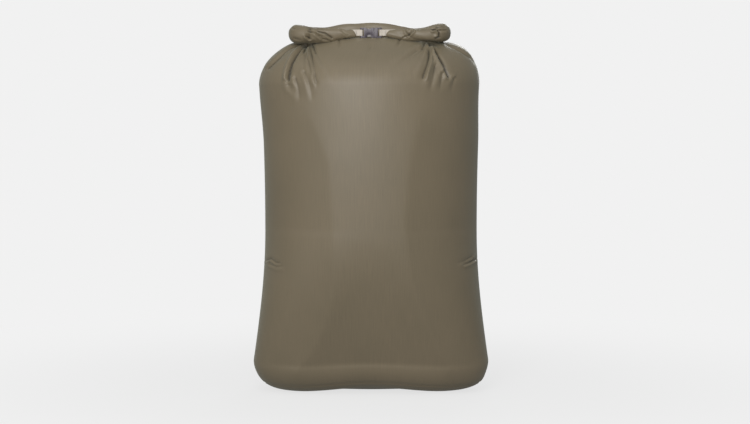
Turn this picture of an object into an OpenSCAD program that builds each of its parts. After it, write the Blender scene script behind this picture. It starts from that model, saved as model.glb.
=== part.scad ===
// Fold-top dry bag. A tall coated-nylon bag with a rounded rectangular base. Its mouth is rolled
// down, the roll is bent forwards at both ends into a flat ring, and a small side-release buckle
// joins the two ends, so that the ring is also the carrying handle.
// Millimetres. +Z is up, +X to the right, and the buckle faces -Y. The origin is on the floor,
// under the middle of the bag.

/* [Bag body] */
// Greatest width, just above the base
base_w = 383; // [330:1:460]
// Depth just above the base
base_depth = 178; // [150:1:214]
// Width of the flat part that stands on the floor
foot_w = 274; // [200:1:300]
// Depth of the flat part that stands on the floor
foot_depth = 96; // [60:1:120]
// Height of the rounded lower edge
edge_h = 48; // [36:1:60]
// Width half way up
waist_w = 346; // [300:1:416]
// Depth half way up
waist_depth = 268; // [224:1:322]
// Width across the shoulders
shoulder_w = 360; // [310:1:432]
// Depth at the shoulders
shoulder_depth = 246; // [205:1:296]
// Height where the shoulders begin to close
shoulder_h = 500; // [415:1:600]
// Height that the shoulders close over, up to the mouth
shoulder_rise = 64; // [55:1:82]
// Thickness of the coated fabric
fabric_t = 0.8; // [0.6:0.1:1.2]

/* [Seams] */
// Height of the seam between the body and the base
base_seam_h = 12; // [9:1:16]
// Thickness of the seam tape
tape_t = 0.3; // [0.2:0.05:0.5]

/* [Rolled mouth] */
// Width of the ring over its two bends
ring_w = 262; // [220:1:310]
// Distance from the back run's axis to the front ends' axis
ring_gap = 38; // [32:1:46]
// Height of the roll along its back run
roll_h = 28; // [24:1:32]
// Thickness of the roll
roll_t = 18; // [15:0.5:21.5]
// Height of the roll in its bends
bend_h = 30; // [25:1:32]
// How far the front ends lie below the back run
end_drop = 3; // [1:0.5:3.5]
// Height of a front end beside its bend
end_root_h = 28; // [23:1:28]
// Height of a front end at its tip
end_tip_h = 18; // [15:1:22]
// Thickness of a front end at its tip
end_tip_t = 12; // [10:0.5:14]
// How far the buckle lies below the back run
buckle_drop = 2; // [0:0.5:4]
// Gap between the mouth and the back run that the collar fills
collar_rise = 4; // [3:0.5:6]
// Width of the stiffener strip in the hem
stiffener_w = 20; // [16:0.5:20]
// Thickness of the stiffener strip
stiffener_t = 0.8; // [0.5:0.1:1.5]

/* [Webbing tabs] */
// Width of the webbing
web_w = 10; // [8:0.5:12]
// Thickness of the webbing
web_t = 1; // [0.8:0.1:1.2]
// Length of the tab between the roll's tip and the buckle's bar
tab_reach = 13.7; // [11.5:0.1:18]
// Length of the tab that is sewn into the roll
tab_sewn = 15; // [10:1:20]

/* [Buckle] */
// Length of the closed buckle
buckle_l = 33; // [32:0.5:40]
// Width of the buckle, across the webbing
buckle_w = 16.4; // [16:0.2:20]
// Thickness of the buckle
buckle_t = 6.5; // [6:0.1:8]
// Radius of the bar that the webbing goes round
bar_r = 1.2; // [1:0.1:1.4]
// Wall above and below the socket's cavity
socket_wall = 1.35; // [1:0.05:1.6]
// Depth of the thumb scoops in the socket's edges
scoop_depth = 2.4; // [1.8:0.1:2.6]
// Thickness of a prong's arm
prong_t = 1.6; // [1.2:0.1:1.8]

/* [Hidden] */
$fn = 48;

// Colours
fabric_colour = [0.45, 0.41, 0.34];
tape_colour = [0.72, 0.71, 0.68];
strip_colour = [0.20, 0.20, 0.21];
webbing_colour = [0.82, 0.80, 0.77];
thread_colour = [0.66, 0.64, 0.60];
buckle_colour = [0.36, 0.34, 0.38];

// Running clearance of a bar in its loop, gap round what lies in a slot, gap that a joint needs, and
// how far a length of roll stays inside its own knuckle
running = 0.05;
seat = 0.1;
swing_gap = 0.3;
shy = 0.3;
eps = 0.01;

// ---- The bag's surface ----
// A level is [height, half width, half depth, squareness]. Its outline is a superellipse, and a
// squareness of 2 is an ellipse.
mouth_h = shoulder_h + shoulder_rise;
mouth_half_w = (ring_w - roll_t) / 2 - 3;
mouth_half_t = 4;
base_squareness = 3;
body_squareness = 2.15;
mouth_squareness = 2.6;

function mix(a, b, t) = a + (b - a) * t;
function ease(t) = t * t * (3 - 2 * t);

// The lower edge is an elliptical round, from the flat foot at 90 degrees to the wall at 0.
function edge_level(angle) = [
    edge_h * (1 - sin(angle)),
    base_w / 2 - (base_w - foot_w) / 2 * (1 - cos(angle)),
    base_depth / 2 - (base_depth - foot_depth) / 2 * (1 - cos(angle)),
    base_squareness
];
// The wall narrows from the base to the waist, then widens again to the shoulders.
waist_h = edge_h + 0.42 * (shoulder_h - edge_h);
function wall_level(z) =
    let (low = z < waist_h,
         t = low ? (z - edge_h) / (waist_h - edge_h) : (z - waist_h) / (shoulder_h - waist_h))
    [
        z,
        low ? mix(base_w / 2, waist_w / 2, sin(90 * t)) : mix(waist_w / 2, shoulder_w / 2, t * t),
        low ? mix(base_depth / 2, waist_depth / 2, sin(90 * t))
            : mix(waist_depth / 2, shoulder_depth / 2, pow(t, 3)),
        low ? mix(base_squareness, body_squareness, ease(t)) : body_squareness
    ];
// The shoulders close in an elliptical round, from the wall at 0 degrees to the mouth at 90.
function shoulder_level(angle) = [
    shoulder_h + shoulder_rise * sin(angle),
    mix(mouth_half_w, shoulder_w / 2, cos(angle)),
    mix(mouth_half_t, shoulder_depth / 2, cos(angle)),
    mix(body_squareness, mouth_squareness, 1 - cos(angle))
];

base_seam_angle = asin(1 - base_seam_h / edge_h);
base_rows = 4;
edge_rows = 5;
wall_rows = 11;
shoulder_rows = 9;
levels = concat(
    [for (i = [0 : base_rows]) edge_level(mix(90, base_seam_angle, i / base_rows))],
    [for (i = [1 : edge_rows]) edge_level(mix(base_seam_angle, 0, i / edge_rows))],
    [for (i = [1 : wall_rows]) wall_level(mix(edge_h, shoulder_h, i / wall_rows))],
    [for (i = [1 : shoulder_rows]) shoulder_level(90 * i / shoulder_rows)]
);
seam_row = base_rows;
top_row = len(levels) - 1;

// Columns run once round the bag from the right side seam. Those beside a side seam are close to
// it, so that the tape over the seam has its real width.
tape_angle = 4;
quarter_columns = 12;
quarter = concat([0], [for (i = [0 : quarter_columns]) mix(tape_angle, 90, i / quarter_columns)]);
half = len(quarter) * 2 - 2;
function column_angle(j) =
    let (k = j % half, turn = 180 * floor(j / half))
    turn + (k < len(quarter) ? quarter[k] : 180 - quarter[half - k]);
columns = 2 * half;

function power_of(v, squareness) = sign(v) * pow(abs(v), 2 / squareness);
function at(level, angle) = [
    level[1] * power_of(cos(angle), level[3]),
    level[2] * power_of(sin(angle), level[3]),
    level[0]
];
function clamp(i) = max(0, min(top_row, i));
outside = [for (level = levels) [for (j = [0 : columns - 1]) at(level, column_angle(j))]];
function normal(i, j) =
    i == 0 ? [0, 0, -1]
    : let (round_it = outside[i][(j + 1) % columns] - outside[i][(j + columns - 1) % columns],
           up_it = outside[clamp(i + 1)][j] - outside[clamp(i - 1)][j],
           n = cross(round_it, up_it))
      n / norm(n);
function skin(depth) =
    [for (i = [0 : top_row]) [for (j = [0 : columns - 1]) outside[i][j] - depth * normal(i, j)]];
inside = skin(fabric_t);
tape_face = skin(fabric_t + tape_t);

// A sheet between two faces of the skin, over rows i0 to i1 and columns j0 to j1. A ring goes all
// the way round, and a floor closes it underneath.
module sheet(outer, inner, i0, i1, j0, j1, ring = false, floor = false) {
    rows = i1 - i0;
    wide = ring ? columns : j1 - j0 + 1;
    points = [for (face = [outer, inner]) for (i = [i0 : i1]) for (j = [0 : wide - 1])
        face[i][(j0 + j) % columns]];
    other = (rows + 1) * wide;
    last = ring ? wide - 1 : wide - 2;
    function p(i, j, side) = side * other + i * wide + j % wide;
    function quad(a, b, c, d) = [[a, b, c], [a, c, d]];
    walls = [for (i = [0 : rows - 1]) for (j = [0 : last]) each concat(
        quad(p(i, j, 0), p(i + 1, j, 0), p(i + 1, j + 1, 0), p(i, j + 1, 0)),
        [for (f = quad(p(i, j, 1), p(i + 1, j, 1), p(i + 1, j + 1, 1), p(i, j + 1, 1)))
            [f[2], f[1], f[0]]])];
    top = [for (j = [0 : last]) each
        quad(p(rows, j, 0), p(rows, j, 1), p(rows, j + 1, 1), p(rows, j + 1, 0))];
    bottom = floor
        ? [[for (j = [0 : last]) p(0, j, 0)], [for (j = [last : -1 : 0]) p(0, j, 1)]]
        : [for (j = [0 : last]) each
            quad(p(0, j, 1), p(0, j, 0), p(0, j + 1, 0), p(0, j + 1, 1))];
    ends = ring ? [] : [for (i = [0 : rows - 1]) each concat(
        quad(p(i, 0, 0), p(i, 0, 1), p(i + 1, 0, 1), p(i + 1, 0, 0)),
        quad(p(i, wide - 1, 1), p(i, wide - 1, 0), p(i + 1, wide - 1, 0), p(i + 1, wide - 1, 1)))];
    polyhedron(points, concat(walls, top, bottom, ends));
}

module front_panel() {
    color(fabric_colour) sheet(outside, inside, seam_row, top_row, half, 2 * half);
}

module back_panel() {
    color(fabric_colour) sheet(outside, inside, seam_row, top_row, 0, half);
}

module base_panel() {
    color(fabric_colour) sheet(outside, inside, 0, seam_row, 0, columns, ring = true, floor = true);
}

// The tapes cover the seams on the inside. A side tape starts above the base tape.
tape_top_row = top_row - 3;
module side_seam_tape(seam_column) {
    color(tape_colour)
        sheet(inside, tape_face, seam_row + 1, tape_top_row, seam_column - 1, seam_column + 1);
}

module base_seam_tape() {
    color(tape_colour)
        sheet(inside, tape_face, seam_row - 1, seam_row + 1, 0, columns, ring = true);
}

// The collar is the flat neck of fabric between the mouth and the roll, filled for strength.
collar_depth = 7;
module collar() {
    foot = [mouth_h - collar_depth, mouth_half_w - 2, mouth_half_t + 1.5, mouth_squareness];
    lip = [mouth_h, mouth_half_w - fabric_t - 1, mouth_half_t - fabric_t - seat, mouth_squareness];
    head = [mouth_h + collar_rise - 0.5, mouth_half_w - 13, 1.6, mouth_squareness];
    rings = [for (level = [foot, lip, head]) [for (j = [0 : columns - 1]) at(level, column_angle(j))]];
    wall = [for (i = [0 : 1]) for (j = [0 : columns - 1]) each [
        [i * columns + j, (i + 1) * columns + j, (i + 1) * columns + (j + 1) % columns],
        [i * columns + j, (i + 1) * columns + (j + 1) % columns, i * columns + (j + 1) % columns]]];
    caps = [[for (j = [0 : columns - 1]) j], [for (j = [columns - 1 : -1 : 0]) 2 * columns + j]];
    color(fabric_colour) polyhedron([for (r = rings) each r], concat(wall, caps));
}

// ---- The rolled mouth ----
roll_z = mouth_h + collar_rise + roll_h / 2;
end_z = roll_z - end_drop;
buckle_z = roll_z - buckle_drop;
knuckle_r = roll_t / 2;
bend_x = (ring_w - roll_t) / 2;
bar_x = buckle_l / 2 - bar_r;
tip_x = bar_x + tab_reach;

// A flat oval, upright in the plane that it is drawn in
module oval(high, thick) {
    square([thick, high - thick], center = true);
    for (side = [-1, 1]) translate([0, side * (high - thick) / 2]) circle(thick / 2);
}

// A length of roll from x0 to x1
module run(x0, x1, high, thick) {
    translate([x0, 0, 0]) rotate([90, 0, 90]) linear_extrude(x1 - x0) oval(high, thick);
}

// The post that a length of roll turns on, with bevelled ends
module knuckle(high) {
    bevel = knuckle_r / 2;
    rotate_extrude() polygon([
        [0, -high / 2], [knuckle_r - bevel, -high / 2], [knuckle_r, -high / 2 + bevel],
        [knuckle_r, high / 2 - bevel], [knuckle_r - bevel, high / 2], [0, high / 2]]);
}

// The room that a knuckle and the length of roll on it take, with the piece pointing along +X
module knuckle_room(reach, high) {
    cylinder(h = high, r = knuckle_r + swing_gap, center = true);
    translate([0, -knuckle_r - swing_gap, -high / 2])
        cube([reach, 2 * (knuckle_r + swing_gap), high]);
}

room_h = 2 * bend_h;
// Slot for the stiffener strip, along X
module strip_slot(x0, x1) {
    translate([x0, -stiffener_t / 2 - seat, -stiffener_w / 2 - seat])
        cube([x1 - x0, stiffener_t + 2 * seat, stiffener_w + 2 * seat]);
}

module strip(x0, x1, high = stiffener_w) {
    translate([x0, -stiffener_t / 2, -high / 2]) cube([x1 - x0, stiffener_t, high]);
}

back_strip_x = bend_x - knuckle_r - 3;
module roll_back() {
    color(fabric_colour) translate([0, 0, roll_z]) difference() {
        run(-bend_x + 4, bend_x - 4, roll_h, roll_t);
        for (side = [-1, 1])
            translate([side * bend_x, 0, 0]) rotate(-90) knuckle_room(ring_gap, room_h);
        strip_slot(-bend_x, bend_x);
    }
}

module hem_stiffener_back() {
    color(strip_colour) translate([0, 0, roll_z]) strip(-back_strip_x, back_strip_x);
}

// The left bend: a post at the back, and a short length that runs forwards to the left end's post
bend_strip = [1, ring_gap - knuckle_r - 3];
module left_bend_at() {
    translate([-bend_x, 0, roll_z]) rotate(-90) children();
}

module roll_left_bend() {
    color(fabric_colour) difference() {
        left_bend_at() union() {
            knuckle(bend_h);
            run(0, ring_gap - knuckle_r / 2, bend_h - 2 * shy, roll_t - 2 * shy);
        }
        translate([-bend_x, -ring_gap, end_z]) knuckle_room(bend_x, room_h);
        left_bend_at() strip_slot(bend_strip[0] - seat, ring_gap);
    }
}

module hem_stiffener_left_bend() {
    color(strip_colour) left_bend_at() strip(bend_strip[0], bend_strip[1]);
}

// The left end: a post, and a length that tapers to the tip where the webbing tab is sewn in
end_strip = [knuckle_r, bend_x - tip_x - tab_sewn - 8];
end_strip_w = stiffener_w - 6;
module left_end_at(z) {
    translate([-bend_x, -ring_gap, z]) children();
}

module roll_left_end() {
    slice = 1;
    color(fabric_colour) difference() {
        union() {
            left_end_at(end_z) knuckle(end_root_h);
            hull() {
                left_end_at(end_z) run(0, slice, end_root_h, roll_t, $fn = 32);
                left_end_at(buckle_z)
                    run(bend_x - tip_x - slice, bend_x - tip_x, end_tip_h, end_tip_t, $fn = 32);
            }
        }
        left_end_at(buckle_z) translate([bend_x - tip_x - tab_sewn - seat, -web_t - seat, 0])
            translate([0, 0, -web_w / 2 - seat])
                cube([tab_sewn + 1, 2 * (web_t + seat), web_w + 2 * seat]);
        left_end_at(end_z) translate([end_strip[0] - seat, -stiffener_t / 2 - seat, 0])
            translate([0, 0, -end_strip_w / 2 - seat])
                cube([end_strip[1] - end_strip[0] + 2 * seat, stiffener_t + 2 * seat,
                      end_strip_w + 2 * seat]);
    }
}

module hem_stiffener_left_end() {
    color(strip_colour) left_end_at(end_z) strip(end_strip[0], end_strip[1], end_strip_w);
}

// ---- Webbing tabs ----
// The tab is webbing folded in two round the buckle's bar, so its loop turns on the bar.
loop_r = bar_r + running + web_t;
module left_tab_at() {
    translate([-bar_x, -ring_gap, buckle_z]) children();
}

module webbing_tab_left() {
    color(webbing_colour) left_tab_at() difference() {
        union() {
            cylinder(h = web_w, r = loop_r, center = true);
            translate([-tab_reach - tab_sewn, -web_t, -web_w / 2])
                cube([tab_reach + tab_sewn, 2 * web_t, web_w]);
        }
        cylinder(h = web_w + 1, r = bar_r + running, center = true);
    }
}

// Bar tacks: a row of close stitches across each face of the tab
tack = [1.6, 0.35, 8];
module bar_tacks_left() {
    tack_x = -loop_r - (tab_reach - loop_r) / 2;
    color(thread_colour) left_tab_at() for (side = [-1, 1])
        translate([tack_x, side * (web_t + tack[1] / 2), 0]) cube(tack, center = true);
}

// ---- Side-release buckle ----
// Both halves are drawn round the middle of the closed buckle, with the socket on the left.
cheek_w = web_w + 0.8;
bar_gap = 4;
mouth_x = 5;
throat_l = 3.8;
cavity_w = buckle_w - 3.6;
throat_w = cavity_w - 2.4;
cavity_end = bar_x - bar_gap - 2.3;
half_body = bar_x - bar_gap;
corner_r = 1.5;

module buckle_at() {
    translate([0, -ring_gap, buckle_z]) children();
}

// A plate with rounded corners in the XZ plane, centred on Y
module plate(x0, x1, wide, thick, round_r) {
    rotate([90, 0, 0]) linear_extrude(thick, center = true) {
        translate([x0 + round_r, -wide / 2]) square([x1 - x0 - 2 * round_r, wide]);
        translate([x0, -wide / 2 + round_r]) square([x1 - x0, wide - 2 * round_r]);
        for (x = [x0 + round_r, x1 - round_r]) for (side = [-1, 1])
            translate([x, side * (wide / 2 - round_r)]) circle(round_r);
    }
}

// The two cheeks and the bar between them, for the half on the left
module bar_frame() {
    cheek_t = buckle_t - 2;
    for (side = [-1, 1]) cheek(side, cheek_t);
    translate([-bar_x, 0, 0]) cylinder(h = buckle_w - 0.6, r = bar_r, center = true);
}

module cheek(side, cheek_t) {
    cheek_h = (buckle_w - cheek_w) / 2;
    translate([-bar_x, 0, side * (cheek_w + cheek_h) / 2]) {
        cylinder(h = cheek_h, r = cheek_t / 2, center = true);
        translate([0, -cheek_t / 2, -cheek_h / 2]) cube([bar_gap + eps, cheek_t, cheek_h]);
    }
}

scoop_r = 5;
scoop_x = mouth_x - throat_l - 4.7;
module buckle_socket() {
    cavity_t = buckle_t - 2 * socket_wall;
    color(buckle_colour) buckle_at() difference() {
        union() {
            plate(-half_body, mouth_x, buckle_w, buckle_t, corner_r);
            bar_frame();
        }
        translate([-cavity_end, -cavity_t / 2, -cavity_w / 2])
            cube([mouth_x - throat_l + cavity_end, cavity_t, cavity_w]);
        translate([-cavity_end, -cavity_t / 2, -throat_w / 2])
            cube([mouth_x + cavity_end + 1, cavity_t, throat_w]);
        for (side = [-1, 1]) translate([scoop_x, 0, side * (buckle_w / 2 + scoop_r - scoop_depth)])
            rotate([90, 0, 0]) cylinder(h = buckle_t + 1, r = scoop_r, center = true);
    }
}

// The prongs turn on round roots in the plug, which stand for the bend of the moulded arms.
root_r = 1;
root_x = mouth_x + 2.4;
prong_outer = throat_w / 2 - 0.2;
prong_z = prong_outer - prong_t / 2;
prong_thick = buckle_t - 2 * socket_wall - 0.4;
prong_tip = -cavity_end + 1.2;
plug_face = mouth_x + swing_gap;

module buckle_plug() {
    tongue_w = 2.4;
    pocket_t = prong_thick + 2 * seat;
    color(buckle_colour) buckle_at() {
        difference() {
            union() {
                mirror([1, 0, 0]) plate(-half_body, -plug_face, buckle_w, buckle_t, corner_r);
                mirror([1, 0, 0]) bar_frame();
            }
            for (side = [-1, 1]) {
                translate([root_x, 0, side * prong_z]) rotate([90, 0, 0])
                    cylinder(h = pocket_t, r = root_r + running, center = true);
                translate([plug_face - 1, -pocket_t / 2, side * prong_z - prong_t / 2 - 0.6])
                    cube([root_x - plug_face + 1, pocket_t, prong_t + 1.2]);
            }
        }
        translate([prong_tip + 2, -prong_thick / 2 + 0.4, -tongue_w / 2])
            cube([plug_face - prong_tip - 2 + eps, prong_thick - 0.8, tongue_w]);
    }
}

// An upper prong: round root, arm, and the pad whose shoulder catches behind the socket's throat.
// The crown on the pad fills the socket's scoop, where a thumb presses it.
module prong() {
    shoulder_x = mouth_x - throat_l - 0.2;
    pad_l = 5.2;
    pad_z = cavity_w / 2 - 0.2;
    crown_r = 3;
    crown_h = 0.6;
    crown_l = 4;
    rotate([90, 0, 0]) linear_extrude(prong_thick, center = true) {
        translate([root_x, prong_z]) circle(root_r);
        translate([prong_tip, prong_z - prong_t / 2]) square([root_x - prong_tip, prong_t]);
        polygon([
            [prong_tip, prong_z],
            [shoulder_x, prong_z],
            [shoulder_x, pad_z],
            [shoulder_x - pad_l, pad_z],
            [prong_tip, prong_outer]
        ]);
        translate([scoop_x, pad_z]) intersection() {
            translate([0, crown_h - crown_r]) circle(crown_r);
            translate([-crown_l / 2, -1]) square([crown_l, 2]);
        }
    }
}

module buckle_prong_upper() {
    color(buckle_colour) buckle_at() prong();
}

module buckle_prong_lower() {
    color(buckle_colour) buckle_at() mirror([0, 0, 1]) prong();
}

front_panel();
back_panel();
base_panel();
side_seam_tape(half);  // side_seam_tape_left
side_seam_tape(columns);  // side_seam_tape_right
base_seam_tape();
collar();
roll_back();
roll_left_bend();
mirror([1, 0, 0]) roll_left_bend();  // roll_right_bend
roll_left_end();
mirror([1, 0, 0]) roll_left_end();  // roll_right_end
hem_stiffener_back();
hem_stiffener_left_bend();
mirror([1, 0, 0]) hem_stiffener_left_bend();  // hem_stiffener_right_bend
hem_stiffener_left_end();
mirror([1, 0, 0]) hem_stiffener_left_end();  // hem_stiffener_right_end
webbing_tab_left();
mirror([1, 0, 0]) webbing_tab_left();  // webbing_tab_right
bar_tacks_left();
mirror([1, 0, 0]) bar_tacks_left();  // bar_tacks_right
buckle_socket();
buckle_plug();
buckle_prong_upper();
buckle_prong_lower();
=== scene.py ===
import math
import random

import bpy
import numpy as np
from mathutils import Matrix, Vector


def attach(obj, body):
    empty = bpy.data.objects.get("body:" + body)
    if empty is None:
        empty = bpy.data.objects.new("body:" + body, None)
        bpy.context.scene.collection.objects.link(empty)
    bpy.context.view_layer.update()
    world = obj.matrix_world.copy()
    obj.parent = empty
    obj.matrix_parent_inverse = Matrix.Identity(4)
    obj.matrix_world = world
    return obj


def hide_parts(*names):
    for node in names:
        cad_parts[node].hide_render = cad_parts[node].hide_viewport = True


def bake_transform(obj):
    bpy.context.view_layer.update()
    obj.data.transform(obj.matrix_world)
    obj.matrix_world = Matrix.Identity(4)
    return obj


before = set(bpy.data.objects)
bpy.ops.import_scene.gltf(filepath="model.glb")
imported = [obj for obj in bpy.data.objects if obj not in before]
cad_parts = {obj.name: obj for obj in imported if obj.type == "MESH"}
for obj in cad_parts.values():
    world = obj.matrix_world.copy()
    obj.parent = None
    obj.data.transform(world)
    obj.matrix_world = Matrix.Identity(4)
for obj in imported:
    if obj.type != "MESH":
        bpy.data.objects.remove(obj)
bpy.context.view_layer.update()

# ---- Studio ----
# A pale floor with no visible edge, a pale surround, and soft boxes in front, most of them a little
# to the left, so that the middle of the front is bright and both sides fall off. One lights the back.
scene = bpy.context.scene
scene.view_settings.view_transform = "Standard"
scene.view_settings.look = "None"

bpy.ops.object.select_all(action="DESELECT")
bpy.ops.mesh.primitive_plane_add(size=80, location=(0, 0, -0.0008))
floor = bpy.context.object
floor.name = "studio_floor"

# The floor is paper near the bag and fades into the surround far away, so it has no horizon
surround = (0.880, 0.880, 0.880, 1)
paper_share_near = 0.18
paper_share_ends = 1.10
floor_bounce = 0.21
floor_paper = bpy.data.materials.new("studio_paper")
floor_paper.use_nodes = True
tree = floor_paper.node_tree
paper = tree.nodes["Principled BSDF"]
paper.inputs["Base Color"].default_value = (0.80, 0.80, 0.80, 1)
paper.inputs["Roughness"].default_value = 0.95
paper.inputs["Specular IOR Level"].default_value = 0.05
glow = tree.nodes.new("ShaderNodeEmission")
glow.inputs["Color"].default_value = surround
place = tree.nodes.new("ShaderNodeTexCoord")
reach = tree.nodes.new("ShaderNodeVectorMath")
reach.operation = "LENGTH"
fade = tree.nodes.new("ShaderNodeMapRange")
fade.interpolation_type = "SMOOTHERSTEP"
fade.inputs["From Min"].default_value = 0.05
fade.inputs["From Max"].default_value = paper_share_ends
fade.inputs["To Min"].default_value = 1 - paper_share_near
blend_floor = tree.nodes.new("ShaderNodeMixShader")
tree.links.new(place.outputs["Object"], reach.inputs[0])
tree.links.new(reach.outputs["Value"], fade.inputs["Value"])
tree.links.new(fade.outputs["Result"], blend_floor.inputs["Fac"])
tree.links.new(paper.outputs["BSDF"], blend_floor.inputs[1])
tree.links.new(glow.outputs["Emission"], blend_floor.inputs[2])
glow_ray = tree.nodes.new("ShaderNodeLightPath")
glow_power = tree.nodes.new("ShaderNodeMapRange")
glow_power.inputs["To Min"].default_value = floor_bounce
tree.links.new(glow_ray.outputs["Is Camera Ray"], glow_power.inputs["Value"])
tree.links.new(glow_power.outputs["Result"], glow.inputs["Strength"])
tree.links.new(blend_floor.outputs["Shader"], tree.nodes["Material Output"].inputs["Surface"])
floor.data.materials.append(floor_paper)

# What the camera sees round the bag is pale; what lights it is dimmer, so its sides fall off
world = bpy.data.worlds.new("studio_surround")
world.use_nodes = True
sky = world.node_tree
seen = sky.nodes["Background"]
seen.inputs["Color"].default_value = surround
seen.inputs["Strength"].default_value = 1.0
lit = sky.nodes.new("ShaderNodeBackground")
lit.inputs["Color"].default_value = (0.97, 1.0, 1.0, 1)
lit.inputs["Strength"].default_value = 0.27
ray = sky.nodes.new("ShaderNodeLightPath")
choose = sky.nodes.new("ShaderNodeMixShader")
sky.links.new(ray.outputs["Is Camera Ray"], choose.inputs["Fac"])
sky.links.new(lit.outputs["Background"], choose.inputs[1])
sky.links.new(seen.outputs["Background"], choose.inputs[2])
sky.links.new(choose.outputs["Shader"], sky.nodes["World Output"].inputs["Surface"])
scene.world = world


def softbox(name, place, aim, size, power, tint=(1, 1, 1)):
    lamp = bpy.data.lights.new(name, "AREA")
    lamp.shape = "RECTANGLE"
    lamp.size, lamp.size_y = size
    lamp.energy = power
    lamp.color = tint
    holder = bpy.data.objects.new(name, lamp)
    holder.location = place
    holder.rotation_euler = (Vector(aim) - Vector(place)).to_track_quat("-Z", "Y").to_euler()
    scene.collection.objects.link(holder)


softbox("front_light", (-0.05, -2.7, 1.15), (0, 0, 0.33), (0.95, 1.5), 17, (1.0, 0.99, 0.97))
softbox("front_left_light", (-0.75, -2.6, 1.30), (0, 0, 0.33), (0.80, 1.5), 21, (1.0, 0.99, 0.97))
softbox("front_high_light", (-0.20, -2.0, 2.2), (0, 0, 0.40), (1.0, 1.0), 11, (1.0, 0.99, 0.97))
softbox("left_light", (-1.8, -1.8, 1.0), (0, 0, 0.30), (1.2, 1.8), 4.5)
softbox("top_light", (0.0, -0.5, 2.4), (0, 0, 0.50), (1.6, 1.2), 4)
softbox("back_light", (0.5, 2.7, 1.2), (0, 0, 0.33), (1.2, 1.5), 22)

# ---- Camera ----
# A long lens, level with the middle of the bag and a little above it.
camera_distance = 3.4
camera_rise = 4.0
picture_width = 1.2225
picture_centre = Vector((0.0065, 0, 0.2895))
lens = bpy.data.cameras.new("camera")
lens.sensor_width = 36
lens.lens = 36 * camera_distance / picture_width
camera = bpy.data.objects.new("camera", lens)
tilt = math.radians(camera_rise)
camera.location = picture_centre + camera_distance * Vector((0, -math.cos(tilt), math.sin(tilt)))
camera.rotation_euler = (math.radians(90) - tilt, 0, 0)
scene.collection.objects.link(camera)
scene.camera = camera

# ---- Bag body ----
# One tube of thin coated nylon, sewn up both sides and to a rounded rectangular base. The load fills
# it tight, and its fabric is drawn together to a flat neck under the roll, which throws folds into
# both shoulders. Packing has left a short crinkle half way up each side.


def new_material(name):
    """A material, its shader, and functions that add a node to it and link two sockets."""
    material = bpy.data.materials.new(name)
    material.use_nodes = True
    tree = material.node_tree

    def add(kind, **settings):
        node = tree.nodes.new(kind)
        for key, value in settings.items():
            setattr(node, key, value)
        return node

    return material, tree.nodes["Principled BSDF"], add, tree.links.new


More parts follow.
